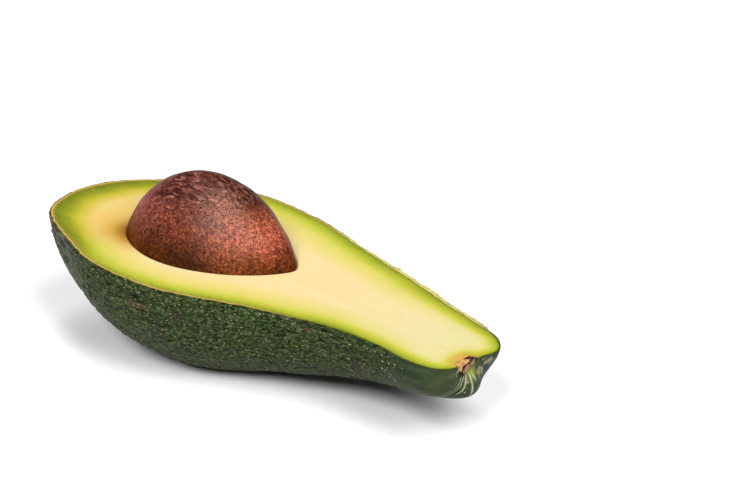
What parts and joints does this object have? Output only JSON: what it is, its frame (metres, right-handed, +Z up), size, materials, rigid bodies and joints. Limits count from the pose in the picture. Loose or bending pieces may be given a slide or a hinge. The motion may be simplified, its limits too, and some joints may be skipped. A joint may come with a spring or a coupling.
{
  "type": "halved avocado with seed",
  "caption": "Half of a long-necked, pebble-skinned avocado cut lengthwise, its seed still in the hollow, resting on its rounded back with the cut face up.",
  "frame": {"origin": "middle of the small flat spot on the rounded back where the half rests", "axes": "+Z up, +X towards the stem end of the fruit, which hangs a little lower than the blossom end, +Y across the cut face"},
  "size_m": [0.1389, 0.0672, 0.0514],
  "materials": {
    "peel": "dark green, pebbled and waxy, with pale specks",
    "flesh": "moist and creamy, green next to the peel and pale yellow towards the seed",
    "seed": "reddish brown seed coat with fine mottling, satin",
    "stem": "dry brown wood fibre, matte"
  },
  "bodies": {
    "root": {"peel": "peel", "flesh": "flesh", "seed": "seed", "stem_stump": "stem"}
  },
  "joints": []
}
